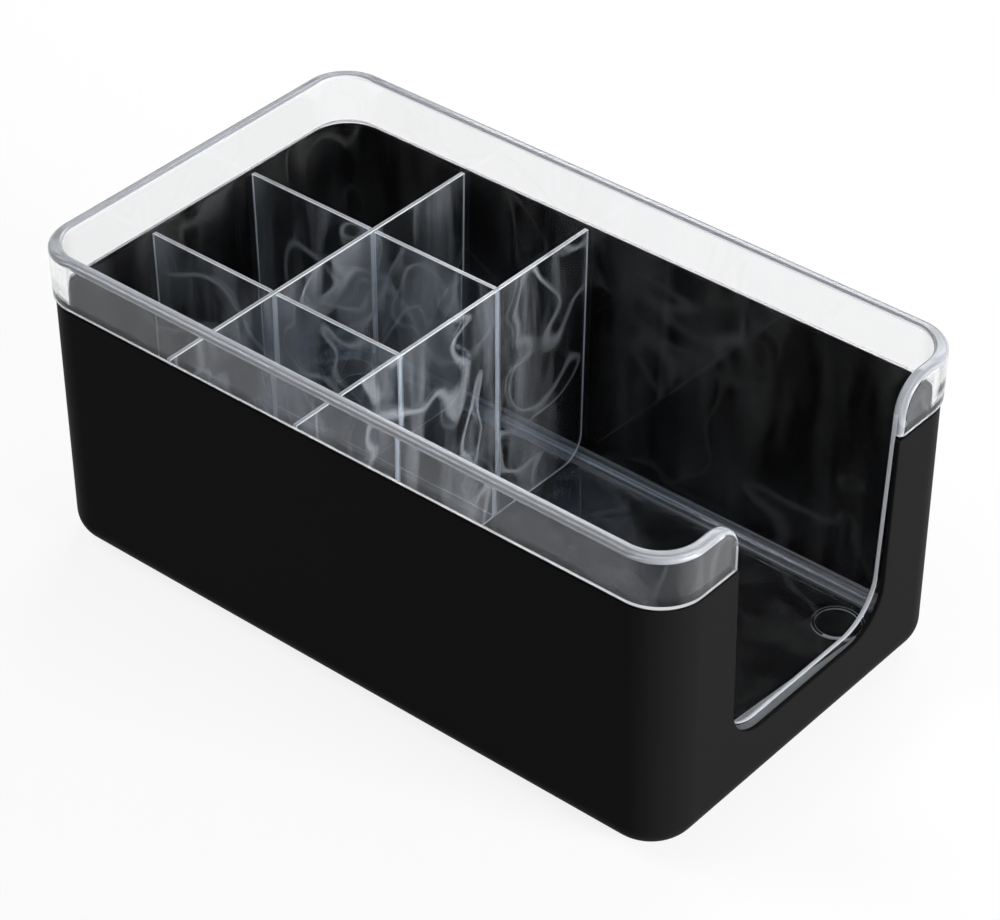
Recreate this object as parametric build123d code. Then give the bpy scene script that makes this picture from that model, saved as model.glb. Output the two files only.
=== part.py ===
from build123d import *
from math import radians, tan
import os

# Counter caddy for condiments and napkins.
# A black outer shell with a cut-out in one end, a clear tray with a thick rim that lifts out of it,
# a slot-together divider grid that stands in the tray, and four rubber feet under the shell.
#
# Millimetres. +X is the open end with the cut-out, +Y the back, +Z up.
# The origin is on the surface under the feet, at the middle of the caddy.

os.makedirs("parts", exist_ok=True)

# Overall size, over the tray's rim
length = 300.0
width = 173.0

# Rubber feet, each set in a round seat under the shell
foot_diameter = 12.0
foot_proud = 1.2
foot_seat_depth = 0.8
foot_seat_clearance = 0.1
foot_taper = 8.0
foot_inset = 30.0

# Outer shell
rim_overhang = 0.8
shell_height = 110.4
shell_wall = 2.0
shell_floor = 2.2
shell_corner_radius = 19.5
shell_base_radius = 11.0
shell_cove_radius = 8.8
shell_lip_chamfer = 0.5
shell_draft = 0.36

# Clear tray
tray_side_clearance = 0.35
tray_wall = 2.3
tray_floor = 2.2
tray_base_radius = 11.4
tray_cove_radius = 10.0
tray_draft = 1.2
shadow_gap = 1.6

# Rim band of the tray
rim_height = 22.0
rim_corner_radius = 18.8
rim_draft = 1.0
rim_outer_radius = 2.4
rim_inner_radius = 1.4
rim_foot_chamfer = 0.5
rim_roll_radius = 13.0

# Ring feet moulded under the tray
ring_foot_height = 0.6
ring_foot_radius = 9.65
ring_foot_wall = 1.3
ring_foot_end_inset = 30.0
ring_foot_side_inset = 26.5

# Cut-out in the open end, through the shell and the tray
cut_half_width = 44.7
cut_side_lean = 1.5
cut_corner_radius = 18.0
cut_edge_chamfer = 0.4
cut_reach = 40.0
shell_sill_height = 28.5
tray_cut_setback = 0.2
tray_sill_step = 2.0
tray_edge_radius = 0.8

# Divider grid
divider_thickness = 2.0
divider_top_drop = 0.6
divider_end_clearance = 0.4
divider_corner_relief = 0.8
divider_edge_radius = 0.4
middle_lane_width = 53.0
first_cell_length = 62.0
second_cell_length = 60.1
lap_clearance = 0.3
lap_height = 50.0
groove_depth = 0.9
groove_end_gap = 0.3

# Heights that follow from the sizes above
shell_base_z = foot_proud
shell_floor_z = shell_base_z + shell_floor
shell_top_z = shell_base_z + shell_height
shell_sill_z = shell_base_z + shell_sill_height
tray_base_z = shell_floor_z + ring_foot_height
tray_floor_z = tray_base_z + tray_floor
tray_sill_z = shell_sill_z + tray_sill_step
ledge_z = shell_top_z + shadow_gap
rim_top_z = ledge_z + rim_height
divider_top_z = ledge_z - divider_top_drop
lap_z = tray_floor_z + lap_height

# How far each wall face stands in from the rim's outer face, at the shell's top
shell_inner_inset = rim_overhang + shell_wall
tray_outer_inset = shell_inner_inset + tray_side_clearance
tray_inner_inset = tray_outer_inset + tray_wall
divider_end_inset = tray_inner_inset + divider_end_clearance
rim_thickness = tray_inner_inset

# The middle planes of the dividers, counted from the tray's wall at the closed end
mid_divider_x = -length / 2 + tray_inner_inset + first_cell_length + divider_thickness / 2
end_divider_x = mid_divider_x + second_cell_length + divider_thickness
long_divider_y = (middle_lane_width + divider_thickness) / 2

# How close an edge lies to a level, and how near its direction to an axis, to count as on it
level_tolerance = 0.001
direction_match = 0.9


def draft_at(z, draft):
    """How far a drafted wall face stands inside its place at the shell's top."""
    return (shell_top_z - z) * tan(radians(draft))


def drafted_block(inset, base_z, top_z, draft):
    """A solid with rounded corners whose faces lean out upwards; the inset is the shell top's."""
    side = inset + draft_at(base_z, draft)
    corner = shell_corner_radius + rim_overhang - side
    outline = RectangleRounded(length - 2 * side, width - 2 * side, corner)
    return Pos(0, 0, base_z) * extrude(outline, amount=top_z - base_z, taper=-draft)


def edges_at(part, z):
    """The edges that lie in the level plane at this height."""
    return part.edges().filter_by_position(Axis.Z, z - level_tolerance, z + level_tolerance)


def extrude_from_end(outline):
    """Runs an outline, drawn in Y and Z, through the open end's wall."""
    end_plane = Plane(origin=(length / 2 - cut_reach, 0, 0), x_dir=(0, 1, 0), z_dir=(1, 0, 0))
    return extrude(end_plane * outline, amount=2 * cut_reach)


def cut_side_y(z, setback):
    """How far the cut-out's side stands from the middle at this height; the sides lean apart upwards."""
    return cut_half_width + setback + (z - shell_sill_z) * tan(radians(cut_side_lean))


def end_cutter(sill_z, setback, top_z):
    """The cut-out's solid: a U with rounded lower corners, from its sill to top_z."""
    base_half = cut_side_y(sill_z, setback)
    top_half = cut_side_y(top_z, setback)
    outline = Polygon(
        (-base_half, sill_z), (base_half, sill_z), (top_half, top_z), (-top_half, top_z), align=None
    )
    lower_corners = outline.vertices().sort_by(Axis.Y)[:2]
    return extrude_from_end(fillet(lower_corners, cut_corner_radius))


def foot_places():
    """The middle of each rubber foot, as X and Y."""
    return GridLocations(length - 2 * foot_inset, width - 2 * foot_inset, 2, 2)


def make_shell():
    """The black outer box, open on top and at one end, with seats for the feet underneath."""
    outer = drafted_block(rim_overhang, shell_base_z, shell_top_z, shell_draft)
    outer = fillet(edges_at(outer, shell_base_z), shell_base_radius)
    outer = chamfer(edges_at(outer, shell_top_z), shell_lip_chamfer)
    hollow = drafted_block(shell_inner_inset, shell_floor_z, shell_top_z, shell_draft)
    hollow = fillet(edges_at(hollow, shell_floor_z), shell_cove_radius)
    walls = outer - hollow
    cutter = end_cutter(shell_sill_z, 0, shell_top_z + cut_reach)
    shell = walls - cutter
    cut_edges = new_edges(walls, cutter, combined=shell)
    lip_z = shell_top_z - shell_lip_chamfer - level_tolerance
    shell = chamfer([e for e in cut_edges if e.bounding_box().min.Z < lip_z], cut_edge_chamfer)
    seat = extrude(Circle(foot_diameter / 2 + foot_seat_clearance), amount=foot_seat_depth)
    return shell - Pos(0, 0, shell_base_z) * foot_places() * seat


def roll_cutter(side):
    """Takes the sharp shoulder off the rim beside the cut-out, on the +Y or the -Y side."""
    roll_z = rim_top_z - rim_roll_radius
    shoulder_y = cut_side_y(roll_z, tray_cut_setback)
    corner = Rectangle(rim_roll_radius, rim_roll_radius, align=Align.MIN)
    roll = Pos(rim_roll_radius, 0) * Circle(rim_roll_radius)
    cutter = extrude_from_end(Pos(shoulder_y, roll_z) * (corner - roll))
    return cutter if side > 0 else mirror(cutter, Plane.XZ)


def runs_through_wall(edge):
    """True for a short edge that crosses the open end's wall from face to face."""
    return edge.length < 2 * rim_thickness and abs((edge % 0.5).X) > direction_match


def inside_wall(edge):
    """True for an edge nearer the inner face of the tray's wall at the open end than the outer face."""
    place = edge @ 0.5
    middle_inset = tray_inner_inset - tray_wall / 2 + draft_at(place.Z, tray_draft)
    return place.X < length / 2 - middle_inset


def make_tray():
    """The clear tray: a drafted box with coved floor, a thick rim band, and four ring feet."""
    body = drafted_block(tray_outer_inset, tray_base_z, ledge_z, tray_draft)
    body = fillet(edges_at(body, tray_base_z), tray_base_radius)
    outline = Pos(0, 0, rim_top_z) * RectangleRounded(length, width, rim_corner_radius)
    rim = extrude(outline, amount=-rim_height, taper=rim_draft)
    rim = chamfer(edges_at(rim, ledge_z), rim_foot_chamfer)
    hollow = drafted_block(tray_inner_inset, tray_floor_z, rim_top_z, tray_draft)
    hollow = fillet(edges_at(hollow, tray_floor_z), tray_cove_radius)
    walls = body + rim - hollow
    cutter = end_cutter(tray_sill_z, tray_cut_setback, rim_top_z + cut_reach)
    cutter = cutter + roll_cutter(1) + roll_cutter(-1)
    tray = walls - cutter

    # The cut-out's edges and the rim's top edges, sorted by the face that they bound
    cut_edges = [e for e in new_edges(walls, cutter, combined=tray) if not runs_through_wall(e)]
    top_edges = [e for e in edges_at(tray, rim_top_z) if not runs_through_wall(e)]
    outer_top = [e for e in top_edges if outline.wire().distance_to(e @ 0.5) < rim_thickness / 2]
    inner_top = [e for e in top_edges if outline.wire().distance_to(e @ 0.5) > rim_thickness / 2]
    rim_outer_x = length / 2 - rim_overhang
    shell_wall_x = rim_outer_x - shell_wall / 2
    outer_cut = [e for e in cut_edges if (e @ 0.5).X > rim_outer_x and e.length > 2 * rim_foot_chamfer]
    wall_cut = [e for e in cut_edges if (e @ 0.5).X < shell_wall_x and not inside_wall(e)]
    inner_cut = [e for e in cut_edges if inside_wall(e)]
    tray = tray.fillet(rim_outer_radius, outer_top + outer_cut)
    tray = tray.fillet(rim_inner_radius, inner_top + inner_cut)
    tray = tray.fillet(tray_edge_radius, wall_cut)

    ring = Circle(ring_foot_radius) - Circle(ring_foot_radius - ring_foot_wall)
    ring_span = length - 2 * ring_foot_end_inset
    ring_spread = width - 2 * ring_foot_side_inset
    ring_places = Pos(0, 0, shell_floor_z) * GridLocations(ring_span, ring_spread, 2, 2)
    return tray + ring_places * extrude(ring, amount=ring_foot_height)


def soften_top(plate):
    """The same plate with its long top edges rounded."""
    top_edges = [e for e in edges_at(plate, divider_top_z) if e.length > 2 * divider_thickness]
    return fillet(top_edges, divider_edge_radius)


def lap_slot(x, y, base_z, top_z):
    """The upright slot in one divider that lets a crossing divider pass."""
    slot_width = divider_thickness + 2 * lap_clearance
    return Pos(x, y, base_z) * extrude(Rectangle(slot_width, slot_width), amount=top_z - base_z)


def make_cross_divider(x):
    """A divider across the tray; the long dividers stand at right angles to it."""
    half_span = width / 2 - divider_end_inset
    base_span = half_span - draft_at(tray_floor_z, tray_draft)
    top_span = half_span - draft_at(divider_top_z, tray_draft)
    outline = Polygon(
        (-base_span, tray_floor_z), (base_span, tray_floor_z),
        (top_span, divider_top_z), (-top_span, divider_top_z), align=None,
    )
    lower_corners = outline.vertices().sort_by(Axis.Y)[:2]
    outline = fillet(lower_corners, tray_cove_radius + divider_corner_relief)
    plane = Plane(origin=(x, 0, 0), x_dir=(0, 1, 0), z_dir=(1, 0, 0))
    plate = extrude(plane * outline, amount=divider_thickness / 2, both=True)
    return soften_top(plate)


def make_mid_divider():
    """The cross divider that halves the cells: slotted from below over both long dividers."""
    plate = make_cross_divider(mid_divider_x)
    for y in (-long_divider_y, long_divider_y):
        plate -= lap_slot(mid_divider_x, y, tray_floor_z, lap_z + lap_clearance)
    return plate


def make_end_divider():
    """The cross divider that closes the cells: grooved on one face for the long dividers' ends."""
    plate = make_cross_divider(end_divider_x)
    face_x = end_divider_x - divider_thickness / 2
    groove_width = divider_thickness + 2 * lap_clearance
    groove = Rectangle(groove_depth, groove_width, align=(Align.MIN, Align.CENTER))
    for y in (-long_divider_y, long_divider_y):
        plate -= Pos(face_x, y, tray_floor_z) * extrude(groove, amount=divider_top_z - tray_floor_z)
    return plate


def make_long_divider(y):
    """A divider along the tray, slotted from above for the mid divider to drop in."""
    half_span = length / 2 - divider_end_inset
    joint_x = end_divider_x - divider_thickness / 2 + groove_depth - groove_end_gap
    base_x = -half_span + draft_at(tray_floor_z, tray_draft)
    top_x = -half_span + draft_at(divider_top_z, tray_draft)
    outline = Polygon(
        (base_x, tray_floor_z), (joint_x, tray_floor_z),
        (joint_x, divider_top_z), (top_x, divider_top_z), align=None,
    )
    lower_corner = outline.vertices().sort_by(Axis.Y)[:2].sort_by(Axis.X)[0]
    outline = fillet(lower_corner, tray_cove_radius + divider_corner_relief)
    plane = Plane(origin=(0, y, 0), x_dir=(1, 0, 0), z_dir=(0, -1, 0))
    plate = soften_top(extrude(plane * outline, amount=divider_thickness / 2, both=True))
    return plate - lap_slot(mid_divider_x, y, lap_z, divider_top_z)


def make_foot(place):
    """A rubber foot: a short round pad that narrows downwards, seated in the shell."""
    foot_height = foot_proud + foot_seat_depth
    pad = extrude(Circle(foot_diameter / 2), amount=-foot_height, taper=foot_taper)
    return place * Pos(0, 0, foot_height) * pad


export_step(make_shell(), "parts/outer_shell.step")
export_step(make_tray(), "parts/clear_tray.step")
export_step(make_long_divider(-long_divider_y), "parts/long_divider_front.step")
export_step(make_long_divider(long_divider_y), "parts/long_divider_back.step")
export_step(make_mid_divider(), "parts/cross_divider_mid.step")
export_step(make_end_divider(), "parts/cross_divider_end.step")

foot_names = ("foot_closed_front", "foot_closed_back", "foot_open_front", "foot_open_back")
for name, place in zip(foot_names, foot_places()):
    export_step(make_foot(place), f"parts/{name}.step")
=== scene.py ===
import math

import bmesh
import bpy
from mathutils import Matrix, Vector


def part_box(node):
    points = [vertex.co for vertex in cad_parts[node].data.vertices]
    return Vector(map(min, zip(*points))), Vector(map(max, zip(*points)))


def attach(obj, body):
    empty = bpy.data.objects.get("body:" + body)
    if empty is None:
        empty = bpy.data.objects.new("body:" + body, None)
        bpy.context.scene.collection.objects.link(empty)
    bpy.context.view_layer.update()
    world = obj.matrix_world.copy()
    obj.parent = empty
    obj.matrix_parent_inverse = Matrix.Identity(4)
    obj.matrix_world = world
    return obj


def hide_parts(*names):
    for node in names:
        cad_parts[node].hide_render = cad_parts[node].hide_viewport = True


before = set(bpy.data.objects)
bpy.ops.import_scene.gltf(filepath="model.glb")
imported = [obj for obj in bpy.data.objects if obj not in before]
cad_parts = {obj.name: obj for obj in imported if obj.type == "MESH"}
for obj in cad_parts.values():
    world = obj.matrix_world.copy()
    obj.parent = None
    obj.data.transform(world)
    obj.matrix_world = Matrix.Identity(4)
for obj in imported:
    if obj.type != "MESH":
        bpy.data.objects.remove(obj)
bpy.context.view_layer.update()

bpy.ops.object.select_all(action="DESELECT")

# The outer shell: one box moulded in satin black plastic, open on top, with a U-shaped cut-out in
# one end. Its walls lean out a little, its bottom edge is well rounded, and its rim is plain.
shell_low, shell_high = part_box("outer_shell")
shell_lean = math.tan(math.radians(0.36))
shell_wall = 0.0020
shell_floor = 0.0022
shell_corner = 0.0195
shell_base_radius = 0.011
shell_cove_radius = 0.0088
shell_sill_height = 0.0285
shell_edge_radius = 0.0005
cut_half_width = 0.0447
cut_corner = 0.018
cut_side_lean = math.tan(math.radians(1.5))
cut_start = 0.120
cut_end = 0.170
above_all = 0.2
same_place = 1e-5
same_point = 1e-6
nearly_square = 0.1
nearly_parallel = 0.9
corner_steps = 24
base_steps = 12
cut_corner_steps = 20
edge_steps = 3


def chosen(piece, wanted):
    """Selects the edges of a piece in edit mode that are wanted, by their middle and direction."""
    bpy.ops.mesh.select_mode(type="EDGE")
    bpy.ops.mesh.select_all(action="DESELECT")
    mesh = bmesh.from_edit_mesh(piece.data)
    for edge in mesh.edges:
        first, second = edge.verts[0].co, edge.verts[1].co
        if wanted((first + second) / 2, (second - first).normalized(), edge):
            edge.select = True
    bmesh.update_edit_mesh(piece.data)


def at_height(point, z):
    """True for a point at one height."""
    return abs(point.z - z) < same_place


def round_level(piece, z, radius, steps):
    """Rounds the level edges of a piece in edit mode that lie at one height."""
    chosen(piece, lambda middle, way, edge: at_height(middle, z) and abs(way.z) < nearly_square)
    bpy.ops.mesh.bevel(offset=radius, segments=steps, affect="EDGES")


def moulded_block(name, half_length, half_width, top_z, base_z, corner, lean, base_radius):
    """A box with round corners, sized at its top, whose sides lean in downwards to a round base."""
    bpy.ops.object.select_all(action="DESELECT")
    bpy.ops.mesh.primitive_plane_add(size=1, location=(0, 0, top_z))
    block = bpy.context.object
    block.name = name
    spread = (2 * half_length, 2 * half_width, 1)
    bpy.ops.transform.resize(value=spread, center_override=(0, 0, top_z))
    bpy.ops.object.transform_apply(location=True, rotation=False, scale=True)
    bpy.ops.object.mode_set(mode="EDIT")
    bpy.ops.mesh.select_mode(type="VERT")
    bpy.ops.mesh.select_all(action="SELECT")
    bpy.ops.mesh.bevel(offset=corner, segments=corner_steps, affect="VERTICES")
    bpy.ops.mesh.select_mode(type="FACE")
    bpy.ops.mesh.select_all(action="SELECT")
    height = top_z - base_z
    bpy.ops.mesh.inset(thickness=height * lean, depth=-height, use_even_offset=True)
    chosen(block, lambda middle, way, edge: at_height(middle, top_z))
    bpy.ops.mesh.edge_face_add()
    if base_radius:
        round_level(block, base_z, base_radius, base_steps)
    bpy.ops.mesh.select_all(action="SELECT")
    bpy.ops.mesh.normals_make_consistent(inside=False)
    bpy.ops.object.mode_set(mode="OBJECT")
    return block


def end_cutter(name, sill_z, half_width):
    """The solid taken out of the open end: a U with leaning sides and round lower corners."""
    bpy.ops.object.select_all(action="DESELECT")
    height = above_all - sill_z
    middle = ((cut_start + cut_end) / 2, 0, sill_z + height / 2)
    size = (cut_end - cut_start, 2 * half_width, height)
    bpy.ops.mesh.primitive_cube_add(size=1, location=middle, scale=size)
    cutter = bpy.context.object
    cutter.name = name
    bpy.ops.object.transform_apply(location=True, rotation=False, scale=True)
    bpy.ops.object.mode_set(mode="EDIT")
    chosen(cutter, lambda middle, way, edge: at_height(middle, above_all))
    growth = 1 + height * cut_side_lean / half_width
    bpy.ops.transform.resize(value=(1, growth, 1), center_override=(0, 0, above_all))
    chosen(cutter, lambda middle, way, edge: (
        abs(way.x) > nearly_parallel and middle.z < sill_z + same_place
    ))
    bpy.ops.mesh.bevel(offset=cut_corner, segments=cut_corner_steps, affect="EDGES")
    bpy.ops.object.mode_set(mode="OBJECT")
    return cutter


def combine(piece, other, operation):
    """Joins another solid to a piece, or takes it away, and removes the other."""
    bpy.ops.object.select_all(action="DESELECT")
    bpy.context.view_layer.objects.active = piece
    piece.select_set(True)
    change = piece.modifiers.new("combine", "BOOLEAN")
    change.operation = operation
    change.solver = "EXACT"
    change.object = other
    bpy.ops.object.modifier_apply(modifier=change.name)
    bpy.data.objects.remove(other)


def soften(piece, radius):
    """Rounds every hard edge of a piece by the same small radius."""
    bpy.context.view_layer.objects.active = piece
    round_off = piece.modifiers.new("soften", "BEVEL")
    round_off.width = radius
    round_off.segments = edge_steps
    round_off.limit_method = "ANGLE"
    round_off.angle_limit = math.radians(40)
    bpy.ops.object.modifier_apply(modifier=round_off.name)


def polish(piece):
    """Merges double points, turns the faces outwards, and smooths all but the hard edges."""
    bpy.ops.object.select_all(action="DESELECT")
    bpy.context.view_layer.objects.active = piece
    piece.select_set(True)
    bpy.ops.object.mode_set(mode="EDIT")
    bpy.ops.mesh.select_all(action="SELECT")
    bpy.ops.mesh.remove_doubles(threshold=same_point)
    bpy.ops.mesh.normals_make_consistent(inside=False)
    bpy.ops.object.mode_set(mode="OBJECT")
    bpy.ops.object.shade_smooth_by_angle(angle=math.radians(35))
    even = piece.modifiers.new("even_shading", "WEIGHTED_NORMAL")
    even.keep_sharp = True
    bpy.ops.object.modifier_apply(modifier=even.name)


def paint(name, colour, specular, grain_scale, relief_depth, smoothest, roughest):
    """A material whose roughness varies in soft patches over a fine grain."""
    material = bpy.data.materials.new(name)
    material.use_nodes = True
    nodes, links = material.node_tree.nodes, material.node_tree.links
    surface = nodes["Principled BSDF"]
    surface.inputs["Base Color"].default_value = (*colour, 1)
    surface.inputs["Specular IOR Level"].default_value = specular
    place = nodes.new("ShaderNodeTexCoord")
    patches = nodes.new("ShaderNodeTexNoise")
    patches.inputs["Scale"].default_value = 14
    links.new(place.outputs["Object"], patches.inputs["Vector"])
    roughness = nodes.new("ShaderNodeMapRange")
    roughness.inputs["To Min"].default_value = smoothest
    roughness.inputs["To Max"].default_value = roughest
    links.new(patches.outputs["Fac"], roughness.inputs["Value"])
    links.new(roughness.outputs["Result"], surface.inputs["Roughness"])
    grain = nodes.new("ShaderNodeTexNoise")
    grain.name = "grain"
    grain.inputs["Scale"].default_value = grain_scale
    grain.inputs["Detail"].default_value = 2
    links.new(place.outputs["Object"], grain.inputs["Vector"])
    relief = nodes.new("ShaderNodeBump")
    relief.inputs["Strength"].default_value = 0.2
    relief.inputs["Distance"].default_value = relief_depth
    links.new(grain.outputs["Fac"], relief.inputs["Height"])
    links.new(relief.outputs["Normal"], surface.inputs["Normal"])
    return material


shell = moulded_block(
    "shell_body", shell_high.x, shell_high.y, shell_high.z, shell_low.z,
    shell_corner, shell_lean, shell_base_radius,
)
shell_floor_z = shell_low.z + shell_floor
hollow_rise = above_all - shell_high.z
hollow_side = shell_wall - hollow_rise * shell_lean
shell_hollow = moulded_block(
    "shell_hollow", shell_high.x - hollow_side, shell_high.y - hollow_side, above_all, shell_floor_z,
    shell_corner - hollow_side, shell_lean, shell_cove_radius,
)
combine(shell, shell_hollow, "DIFFERENCE")
shell_sill_z = shell_low.z + shell_sill_height
combine(shell, end_cutter("shell_cut", shell_sill_z, cut_half_width), "DIFFERENCE")
soften(shell, shell_edge_radius)
polish(shell)

black_plastic = paint(
    "satin_black_plastic", (0.0075, 0.0075, 0.0075), specular=0.006,
    grain_scale=2600, relief_depth=0.00003, smoothest=0.38, roughest=0.46,
)
shell.data.materials.append(black_plastic)
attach(shell, "shell")
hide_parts("outer_shell")

# The clear tray: one thin moulding in polished clear plastic that hangs inside the shell. Its
# thick rim band sits above the shell and rolls down at both sides of the cut-out, and low round
# rings under its floor keep it off the shell's.
tray_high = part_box("clear_tray")[1]
tray_side = 0.00235
tray_wall = 0.0023
tray_lean = math.tan(math.radians(1.2))
tray_floor = 0.0022
tray_base_radius = 0.0114
tray_cove_radius = 0.010
tray_sill_step = 0.002
tray_cut_setback = 0.0002
tray_cut_radius = 0.0008
rim_height = 0.022
rim_corner = 0.0188
rim_lean = math.tan(math.radians(1.0))
rim_outer_radius = 0.0024
rim_inner_radius = 0.0014
rim_foot_radius = 0.0009
rim_roll_radius = 0.013
rim_roll_steps = 20
ring_height = 0.0006
ring_radius = 0.00965
ring_wall = 0.0013
ring_end_inset = 0.030
ring_side_inset = 0.0265
hair_gap = 0.00004
hard_angle = math.radians(50)

tray_base_z = shell_floor_z + ring_height
tray_floor_z = tray_base_z + tray_floor
tray_sill_z = shell_sill_z + tray_sill_step
tray_cut_half_width = cut_half_width + tray_cut_setback
ledge_z = tray_high.z - rim_height


def tray_face(name, inset, top_z, base_z, base_radius):
    """A block bounded by one drafted face of the tray, known by its inset from the shell's face."""
    side = inset - (top_z - shell_high.z) * tray_lean
    return moulded_block(
        name, shell_high.x - side, shell_high.y - side, top_z, base_z,
        shell_corner - side, tray_lean, base_radius,
    )


def ring_at(x, y):
    """One low ring, which reaches a little way up into the tray's floor."""
    bpy.ops.object.select_all(action="DESELECT")
    place = (x, y, shell_floor_z + hair_gap)
    bpy.ops.mesh.primitive_circle_add(
        vertices=64, radius=ring_radius, fill_type="NGON", location=place,
    )
    ring = bpy.context.object
    bpy.ops.object.transform_apply(location=True, rotation=False, scale=False)
    bpy.ops.object.mode_set(mode="EDIT")
    bpy.ops.mesh.select_mode(type="FACE")
    bpy.ops.mesh.select_all(action="SELECT")
    bpy.ops.mesh.inset(thickness=ring_wall, depth=0)
    bpy.ops.mesh.delete(type="FACE")
    bpy.ops.mesh.select_all(action="SELECT")
    rise = (0, 0, ring_height + tray_floor / 4)
    bpy.ops.mesh.extrude_region_move(TRANSFORM_OT_translate={"value": rise})
    bpy.ops.mesh.select_all(action="SELECT")
    bpy.ops.mesh.normals_make_consistent(inside=False)
    bpy.ops.object.mode_set(mode="OBJECT")
    return ring


tray = tray_face("tray_body", tray_side, ledge_z + rim_height / 2, tray_base_z, tray_base_radius)
rim_band = moulded_block(
    "rim_band", tray_high.x, tray_high.y, tray_high.z, ledge_z, rim_corner, rim_lean, 0,
)
combine(tray, rim_band, "UNION")
tray_hollow = tray_face(
    "tray_hollow", tray_side + tray_wall, above_all, tray_floor_z, tray_cove_radius,
)
combine(tray, tray_hollow, "DIFFERENCE")
combine(tray, end_cutter("tray_cut", tray_sill_z, tray_cut_half_width), "DIFFERENCE")

bpy.context.view_layer.objects.active = tray
bpy.ops.object.mode_set(mode="EDIT")
bpy.ops.mesh.select_all(action="SELECT")
bpy.ops.mesh.remove_doubles(threshold=same_point)


def in_cut(point):
    """True for a point on the cut-out's sides, its sill, or the rolled ends of the rim."""
    half_width = tray_cut_half_width + (point.z - tray_sill_z) * cut_side_lean
    return point.x > cut_start and abs(point.y) < half_width + rim_roll_radius + 0.001


def on_shoulder(middle, way, edge):
    """True for the two edges where the rim's top meets the sides of the cut-out."""
    along_length = abs(way.x) > nearly_parallel and middle.x > cut_start + 0.01
    return at_height(middle, tray_high.z) and along_length and in_cut(middle)


chosen(tray, on_shoulder)
bpy.ops.mesh.bevel(offset=rim_roll_radius, segments=rim_roll_steps, affect="EDGES")


def within(point, side):
    """True for a point inside the outline that lies this far in from the shell's outer face."""
    half_length, half_width = shell_high.x - side, shell_high.y - side
    if abs(point.x) > half_length or abs(point.y) > half_width:
        return False
    corner = shell_corner - side
    past_x = abs(point.x) - (half_length - corner)
    past_y = abs(point.y) - (half_width - corner)
    return min(past_x, past_y) < 0 or math.hypot(past_x, past_y) < corner


def inside_wall(point):
    """True for a point nearer the tray's inner face than its outer face."""
    return within(point, tray_side + tray_wall / 2 + (shell_high.z - point.z) * tray_lean)


def hard(middle, way, edge):
    """True for a hard edge that doesn't run through the wall from face to face."""
    through_wall = abs(way.x) > 0.7 and in_cut(middle)
    return edge.calc_face_angle(0) > hard_angle and not through_wall


def rim_outer_edge(middle, way, edge):
    """The rim's outer edge: along its top, down each rolled end and down the cut-out's sides."""
    outside = middle.x > shell_high.x - shell_wall / 2 and middle.z > ledge_z + 1e-4
    on_edge = at_height(middle, tray_high.z) or (in_cut(middle) and outside)
    return hard(middle, way, edge) and on_edge and not inside_wall(middle)


def tray_inner_edge(middle, way, edge):
    """The tray's inner edge: along the rim's top, down the rolled ends and round the cut-out."""
    on_edge = at_height(middle, tray_high.z) or in_cut(middle)
    return hard(middle, way, edge) and on_edge and inside_wall(middle)


def wall_outer_edge(middle, way, edge):
    """The outer edge of the cut-out below the rim, where the tray is one thin wall."""
    below_rim = in_cut(middle) and middle.z < ledge_z - same_place
    return hard(middle, way, edge) and below_rim and not inside_wall(middle)


def rim_foot_edge(middle, way, edge):
    """The lower outer edge of the rim band."""
    at_foot = at_height(middle, ledge_z) and abs(way.z) < 0.5
    return hard(middle, way, edge) and at_foot and not within(middle, shell_wall / 2)


for wanted, radius, steps in (
    (rim_outer_edge, rim_outer_radius, 8),
    (tray_inner_edge, rim_inner_radius, 6),
    (wall_outer_edge, tray_cut_radius, 4),
    (rim_foot_edge, rim_foot_radius, 4),
):
    chosen(tray, wanted)
    bpy.ops.mesh.bevel(offset=radius, segments=steps, affect="EDGES", clamp_overlap=True)
bpy.ops.object.mode_set(mode="OBJECT")
ring_x = tray_high.x - ring_end_inset
ring_y = tray_high.y - ring_side_inset
for x in (-ring_x, ring_x):
    for y in (-ring_y, ring_y):
        combine(tray, ring_at(x, y), "UNION")
polish(tray)

upright_streaks = (1, 1, 0.15)
painted_reflection_streaks = (0.06, 12, 12)
soft_flow = 0.0003
slight_flow = 0.00003


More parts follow.
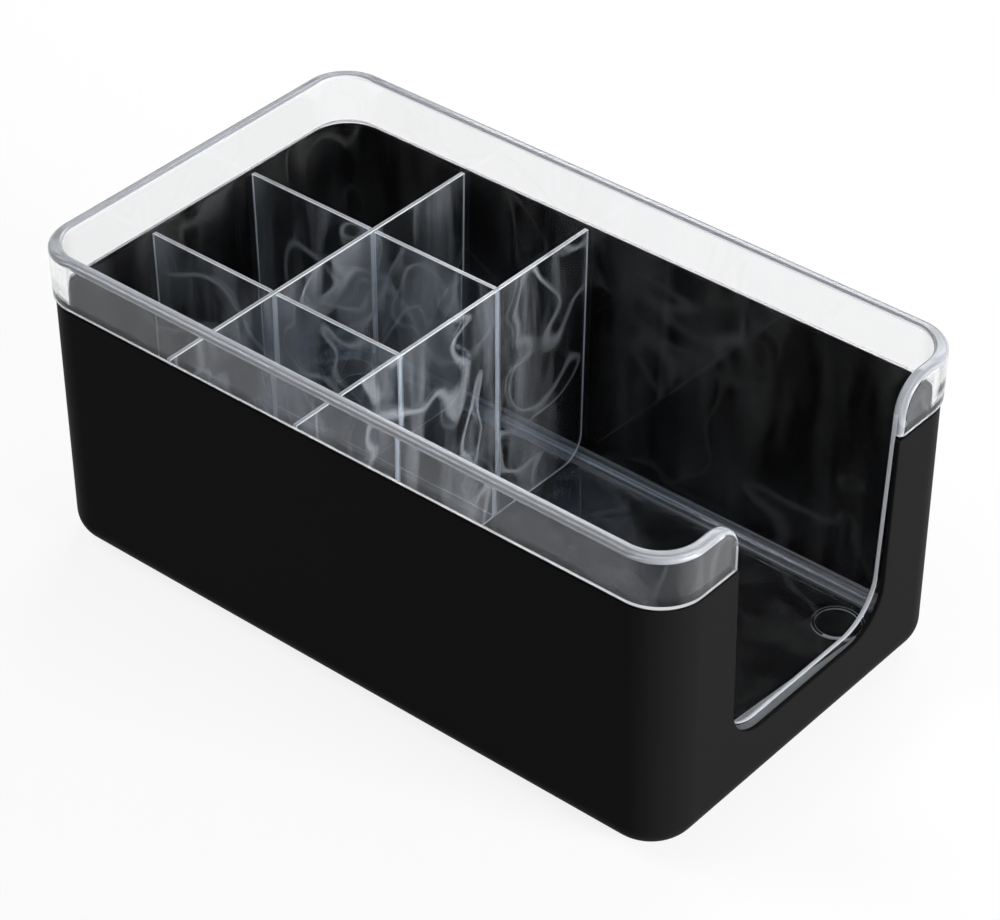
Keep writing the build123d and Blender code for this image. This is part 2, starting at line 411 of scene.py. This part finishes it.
def clear_paint(
    name, colour, clearest, haziest, smoothest, roughest,
    painted_caustic=0, flow_depth=slight_flow, stretch=upright_streaks,
):
    """A clear plastic with a faint flow from its moulding, hazy streaks that are partly the plastic's
    own haziness and partly painted reflection, and thin swirling lines of painted caustic light.
    """
    material = paint(name, colour, 0.12, 22, flow_depth, smoothest, roughest)
    nodes, links = material.node_tree.nodes, material.node_tree.links
    surface = nodes["Principled BSDF"]
    surface.inputs["IOR"].default_value = 1.57
    # The reflections are tinted a dim blue-grey: painted shade, which darkens what the plastic
    # mirrors of the pale room and floor.
    surface.inputs["Specular Tint"].default_value = (0.2, 0.22, 0.26, 1)
    nodes["grain"].inputs["Detail"].default_value = 1
    place = nodes.new("ShaderNodeTexCoord")
    drawn_out = nodes.new("ShaderNodeMapping")
    drawn_out.inputs["Scale"].default_value = stretch
    links.new(place.outputs["Object"], drawn_out.inputs["Vector"])
    # Hazy streaks: partly the plastic's own haziness, partly painted reflection of the light in the
    # cells.
    streaks = nodes.new("ShaderNodeTexNoise")
    streaks.inputs["Scale"].default_value = 60
    streaks.inputs["Detail"].default_value = 4
    streaks.inputs["Roughness"].default_value = 0.6
    streaks.inputs["Distortion"].default_value = 0.6
    links.new(drawn_out.outputs["Vector"], streaks.inputs["Vector"])
    haze_and_painted_reflection = nodes.new("ShaderNodeMapRange")
    haze_and_painted_reflection.inputs["From Min"].default_value = 0.45
    haze_and_painted_reflection.inputs["From Max"].default_value = 0.75
    haze_and_painted_reflection.inputs["To Min"].default_value = clearest
    haze_and_painted_reflection.inputs["To Max"].default_value = haziest
    links.new(streaks.outputs["Fac"], haze_and_painted_reflection.inputs["Value"])
    # Thin swirling lines of lower transmission: painted caustics, bright curves that stand in for
    # light focused by the plates.
    painted_caustic_lines = nodes.new("ShaderNodeTexNoise")
    painted_caustic_lines.inputs["Scale"].default_value = 20
    painted_caustic_lines.inputs["Detail"].default_value = 1
    painted_caustic_lines.inputs["Distortion"].default_value = 0.8
    links.new(place.outputs["Object"], painted_caustic_lines.inputs["Vector"])
    from_line = nodes.new("ShaderNodeMath")
    from_line.operation = "SUBTRACT"
    from_line.inputs[1].default_value = 0.5
    links.new(painted_caustic_lines.outputs["Fac"], from_line.inputs[0])
    distance = nodes.new("ShaderNodeMath")
    distance.operation = "ABSOLUTE"
    links.new(from_line.outputs[0], distance.inputs[0])
    line = nodes.new("ShaderNodeMapRange")
    line.interpolation_type = "SMOOTHSTEP"
    line.inputs["From Max"].default_value = 0.025
    line.inputs["To Min"].default_value = clearest - painted_caustic
    line.inputs["To Max"].default_value = clearest
    links.new(distance.outputs[0], line.inputs["Value"])
    hazier = nodes.new("ShaderNodeMath")
    hazier.operation = "MINIMUM"
    links.new(haze_and_painted_reflection.outputs["Result"], hazier.inputs[0])
    links.new(line.outputs["Result"], hazier.inputs[1])
    links.new(hazier.outputs[0], surface.inputs["Transmission Weight"])
    return material


# The tray's plastic has faint painted caustic lines and faint hazy streaks of haziness and painted
# reflection.
clear_plastic = clear_paint(
    "clear_plastic", (0.92, 0.925, 0.935), clearest=1.0, haziest=0.975,
    smoothest=0.0, roughest=0.01, painted_caustic=0.025, flow_depth=soft_flow,
)
# A paler, hazier copy of the clear plastic: a painted highlight for tops and rounded edges.
painted_top_highlight = clear_paint(
    "clear_plastic_lit_edge", (0.80, 0.83, 0.88), clearest=0.72, haziest=0.68,
    smoothest=0.08, roughest=0.15,
)
# A pale, hazy copy of the clear plastic: painted light that stands for the light that cut edges catch
# and carry.
painted_edge_light = clear_paint(
    "clear_plastic_cut_face", (0.82, 0.85, 0.89), clearest=0.38, haziest=0.32,
    smoothest=0.25, roughest=0.4,
)
# A dark, hazy copy of the clear plastic: painted shade for the rim's underside.
painted_ledge_shade = clear_paint(
    "clear_plastic_ledge_painted_shade", (0.20, 0.21, 0.23), clearest=0.3, haziest=0.2,
    smoothest=0.4, roughest=0.5,
)
# A clear plastic with pale lengthwise streaks: painted reflections of a lamp along the floor's cove.
painted_cove_reflections = clear_paint(
    "clear_plastic_cove_lines", (0.74, 0.78, 0.84), clearest=0.92, haziest=0.45,
    smoothest=0.05, roughest=0.1, stretch=painted_reflection_streaks,
)


def assign(piece, material, wanted):
    """Gives the faces of a piece that are wanted another of its materials."""
    slot = piece.data.materials.find(material.name)
    for face in piece.data.polygons:
        if wanted(face.center, face.normal):
            face.material_index = slot


for material in (clear_plastic, painted_top_highlight, painted_edge_light, painted_ledge_shade, painted_cove_reflections):
    tray.data.materials.append(material)
rim_top = tray_high.z - rim_outer_radius
cove_top = tray_floor_z + tray_cove_radius / 2
# The rim's upward faces and its rolled ends above the ledge get the painted highlight.
assign(tray, painted_top_highlight, lambda middle, facing: middle.z > rim_top - same_place and facing.z > 0.05)
assign(tray, painted_top_highlight, lambda middle, facing: (
    in_cut(middle) and middle.z > ledge_z and abs(facing.x) < 0.95
))
# The cut-out's sides below the rim and the ring walls under the floor get the painted edge light.
assign(tray, painted_edge_light, lambda middle, facing: (
    in_cut(middle) and middle.z < ledge_z and abs(facing.x) < 0.8
))
assign(tray, painted_edge_light, lambda middle, facing: (
    middle.z < tray_base_z and abs(facing.z) < nearly_square
))
# The sloping faces of the floor's cove get the painted reflection streaks.
assign(tray, painted_cove_reflections, lambda middle, facing: (
    tray_floor_z < middle.z < cove_top and 0.3 < facing.z < 0.95
))
# The rim's downward ledge face gets the painted shade, which darkens the gap above the shell's rim.
assign(tray, painted_ledge_shade, lambda middle, facing: at_height(middle, ledge_z) and facing.z < -0.5)
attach(tray, "tray")
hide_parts("clear_tray")

# The divider grid: four plates of the same clear plastic, whose edges are painted pale and hazy, as
# painted light for the light they catch, with a paler painted highlight along their tops. The long
# ones are slotted from above and the middle cross plate from below, so that they halve over each
# other, and the end cross plate has a groove for each long plate's end.
plate_edge_radius = 0.0004
lap_width = 0.0026
lap_clearance = 0.0003
lap_z = tray_floor_z + 0.050
groove_depth = 0.0009
foot_corner = 0.0108
foot_corner_steps = 10
length_axis, width_axis = 0, 1
# The plates' plastic has stronger painted caustic lines and hazier streaks of haziness and painted
# reflection than the tray's.
divider_plastic = clear_paint(
    "clear_plastic_divider", (0.80, 0.845, 0.90), clearest=0.995, haziest=0.84,
    smoothest=0.0, roughest=0.01, painted_caustic=0.155, flow_depth=soft_flow,
)


def plate(node, shrink_at_low_end, shrink_at_high_end, rounds_high):
    """An upright plate with its node's size, narrower at its base, with round lower corners."""
    low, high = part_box(node)
    low.z += hair_gap
    bpy.ops.object.select_all(action="DESELECT")
    bpy.ops.mesh.primitive_cube_add(size=1, location=(low + high) / 2, scale=high - low)
    piece = bpy.context.object
    bpy.ops.object.transform_apply(location=True, rotation=False, scale=True)
    along = Vector((1, 0, 0)) if high.x - low.x > high.y - low.y else Vector((0, 1, 0))
    bpy.ops.object.mode_set(mode="EDIT")
    for end, shrink in ((low, shrink_at_low_end), (high, -shrink_at_high_end)):
        chosen(piece, lambda middle, way, edge: (
            at_height(middle, low.z) and abs((middle - end) @ along) < same_place
        ))
        bpy.ops.transform.translate(value=along * shrink)
    chosen(piece, lambda middle, way, edge: (
        at_height(middle, low.z) and abs(way @ along) < nearly_square
        and (rounds_high or middle @ along < (low @ along + high @ along) / 2)
    ))
    bpy.ops.mesh.bevel(offset=foot_corner, segments=foot_corner_steps, affect="EDGES")
    bpy.ops.object.mode_set(mode="OBJECT")
    return piece


def slot_out(piece, x, y, size_x, size_y, base_z, top_z):
    """Takes an upright slot out of a plate."""
    bpy.ops.object.select_all(action="DESELECT")
    middle = (x, y, (base_z + top_z) / 2)
    size = (size_x, size_y, top_z - base_z)
    bpy.ops.mesh.primitive_cube_add(size=1, location=middle, scale=size)
    combine(piece, bpy.context.object, "DIFFERENCE")


def finish_plate(piece, name, thin_axis, body, node):
    """Softens a plate's edges, gives its faces clear plastic, its edge faces painted edge light and
    its upward edges a painted highlight, and seats it.
    """
    soften(piece, plate_edge_radius)
    polish(piece)
    piece.name = name
    for material in (divider_plastic, painted_top_highlight, painted_edge_light):
        piece.data.materials.append(material)
    # The plate's edge faces get the painted edge light.
    assign(piece, painted_edge_light, lambda middle, facing: abs(facing[thin_axis]) < 0.95)
    # The plate's upward edge faces get the painted highlight.
    assign(piece, painted_top_highlight, lambda middle, facing: abs(facing[thin_axis]) < 0.2 and facing.z > 0.5)
    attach(piece, body)
    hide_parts(node)


mid_low, mid_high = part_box("cross_divider_mid")
back_low, back_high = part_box("long_divider_back")
end_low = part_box("cross_divider_end")[0]
mid_x = (mid_low.x + mid_high.x) / 2
long_y = (back_low.y + back_high.y) / 2
base_shrink = (mid_high.z - mid_low.z) * tray_lean
for node, y in (("long_divider_front", -long_y), ("long_divider_back", long_y)):
    long_plate = plate(node, base_shrink, 0, rounds_high=False)
    slot_out(long_plate, mid_x, y, lap_width, 2 * lap_width, lap_z, above_all)
    finish_plate(long_plate, node + "_plate", width_axis, "long_dividers", node)

mid_plate = plate("cross_divider_mid", base_shrink, base_shrink, rounds_high=True)
end_plate = plate("cross_divider_end", base_shrink, base_shrink, rounds_high=True)
for y in (-long_y, long_y):
    slot_out(mid_plate, mid_x, y, 2 * lap_width, lap_width, 0, lap_z + lap_clearance)
    slot_out(end_plate, end_low.x, y, 2 * groove_depth, lap_width, 0, above_all)
finish_plate(mid_plate, "mid_divider_plate", length_axis, "mid_divider", "cross_divider_mid")
finish_plate(end_plate, "end_divider_plate", length_axis, "end_divider", "cross_divider_end")

# The rubber feet: four low round pads of matt black rubber, narrower below. Each sits under the
# shell's underside and moves with the shell.
foot_edge_radius = 0.0004
foot_lean = math.tan(math.radians(8))
foot_rubber = paint(
    "matt_black_rubber", (0.022, 0.022, 0.022), specular=0.3,
    grain_scale=1500, relief_depth=0.00006, smoothest=0.7, roughest=0.85,
)
for node in ("foot_closed_front", "foot_closed_back", "foot_open_front", "foot_open_back"):
    low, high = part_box(node)
    bpy.ops.object.select_all(action="DESELECT")
    radius = (high.x - low.x) / 2
    height = high.z - low.z
    centre = (low + high) / 2
    bpy.ops.mesh.primitive_cylinder_add(vertices=48, radius=radius, depth=height, location=centre)
    pad = bpy.context.object
    pad.name = node + "_pad"
    bpy.ops.object.transform_apply(location=True, rotation=False, scale=False)
    bpy.ops.object.mode_set(mode="EDIT")
    chosen(pad, lambda middle, way, edge: at_height(middle, low.z))
    narrowing = 1 - height * foot_lean / radius
    base_centre = (centre.x, centre.y, low.z)
    bpy.ops.transform.resize(value=(narrowing, narrowing, 1), center_override=base_centre)
    round_level(pad, low.z, foot_edge_radius, edge_steps)
    bpy.ops.object.mode_set(mode="OBJECT")
    polish(pad)
    pad.data.materials.append(foot_rubber)
    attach(pad, "shell")
    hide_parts(node)

# The camera stands where the photograph was taken from, with a long lens, and is turned a hair
# about its own axis, as the photograph is.
view_azimuth = math.radians(39.89)
view_elevation = math.radians(37.22)
view_roll = math.radians(0.088)
camera_place = Vector((0.67201, -0.79280, 0.84702))
bpy.ops.object.camera_add()
camera = bpy.context.object
camera.name = "camera"
camera.matrix_world = (
    Matrix.Translation(camera_place)
    @ Matrix.Rotation(view_azimuth, 4, "Z")
    @ Matrix.Rotation(math.pi / 2 - view_elevation, 4, "X")
    @ Matrix.Rotation(view_roll, 4, "Z")
)
camera.data.sensor_width = 36
camera.data.lens = 36 * 3.4885
camera.data.shift_x = -0.009
camera.data.shift_y = 0.0011
bpy.context.scene.camera = camera


def seen_by_eye(nodes, links):
    """One for camera, reflected and refracted rays, which see the background itself, else nothing."""
    path = nodes.new("ShaderNodeLightPath")
    camera_or_glossy = nodes.new("ShaderNodeMath")
    camera_or_glossy.operation = "MAXIMUM"
    links.new(path.outputs["Is Camera Ray"], camera_or_glossy.inputs[0])
    links.new(path.outputs["Is Glossy Ray"], camera_or_glossy.inputs[1])
    any_of_three = nodes.new("ShaderNodeMath")
    any_of_three.operation = "MAXIMUM"
    links.new(camera_or_glossy.outputs[0], any_of_three.inputs[0])
    links.new(path.outputs["Is Transmission Ray"], any_of_three.inputs[1])
    return any_of_three.outputs[0]


# The floor: a wide pale sheet that the caddy stands on. It takes a faint shadow, and the rest of
# its brightness is even, as a white studio floor's is.
bpy.ops.object.select_all(action="DESELECT")
bpy.ops.mesh.primitive_circle_add(vertices=64, radius=4, fill_type="NGON", location=(0, 0, 0))
floor = bpy.context.object
floor.name = "floor"
pale_sheet = bpy.data.materials.new("pale_sheet")
pale_sheet.use_nodes = True
nodes, links = pale_sheet.node_tree.nodes, pale_sheet.node_tree.links
sheet = nodes["Principled BSDF"]
sheet.inputs["Base Color"].default_value = (0.82, 0.82, 0.82, 1)
sheet.inputs["Roughness"].default_value = 0.9
sheet.inputs["Specular IOR Level"].default_value = 0
glow = nodes.new("ShaderNodeEmission")
glow.inputs["Strength"].default_value = 1
share = nodes.new("ShaderNodeMath")
share.operation = "MULTIPLY"
share.inputs[1].default_value = 0.85
links.new(seen_by_eye(nodes, links), share.inputs[0])
blend = nodes.new("ShaderNodeMixShader")
links.new(share.outputs[0], blend.inputs["Fac"])
links.new(sheet.outputs["BSDF"], blend.inputs[1])
links.new(glow.outputs["Emission"], blend.inputs[2])
links.new(blend.outputs["Shader"], nodes["Material Output"].inputs["Surface"])
floor.data.materials.append(pale_sheet)

# The studio: a pale room, and three large soft lamps. One stands behind the caddy, one beyond its
# closed end, and one low in front of its open end.
world = bpy.data.worlds.new("pale_room")
bpy.context.scene.world = world
world.use_nodes = True
nodes, links = world.node_tree.nodes, world.node_tree.links
room = nodes["Background"]
room.inputs["Color"].default_value = (1, 1, 1, 1)
level = nodes.new("ShaderNodeMapRange")
level.inputs["To Min"].default_value = 0.15
level.inputs["To Max"].default_value = 1.0
links.new(seen_by_eye(nodes, links), level.inputs["Value"])
links.new(level.outputs["Result"], room.inputs["Strength"])
lamps_aim = Vector((0, 0, 0.1))


def soft_lamp(name, place, width, height, power):
    """A large rectangular lamp that faces the middle of the caddy."""
    bpy.ops.object.light_add(type="AREA", location=place)
    lamp = bpy.context.object
    lamp.name = name
    lamp.data.shape = "RECTANGLE"
    lamp.data.size = width
    lamp.data.size_y = height
    lamp.data.energy = power
    lamp.rotation_euler = (lamps_aim - Vector(place)).to_track_quat("-Z", "Y").to_euler()


soft_lamp("back_lamp", (-0.3, 1.1, 1.0), width=1.2, height=0.5, power=14)
soft_lamp("closed_end_lamp", (-0.9, -0.5, 1.1), width=0.8, height=0.6, power=10)
soft_lamp("open_end_lamp", (1.4, 0.1, 0.35), width=0.6, height=0.4, power=36)

bpy.context.scene.view_settings.view_transform = "Standard"
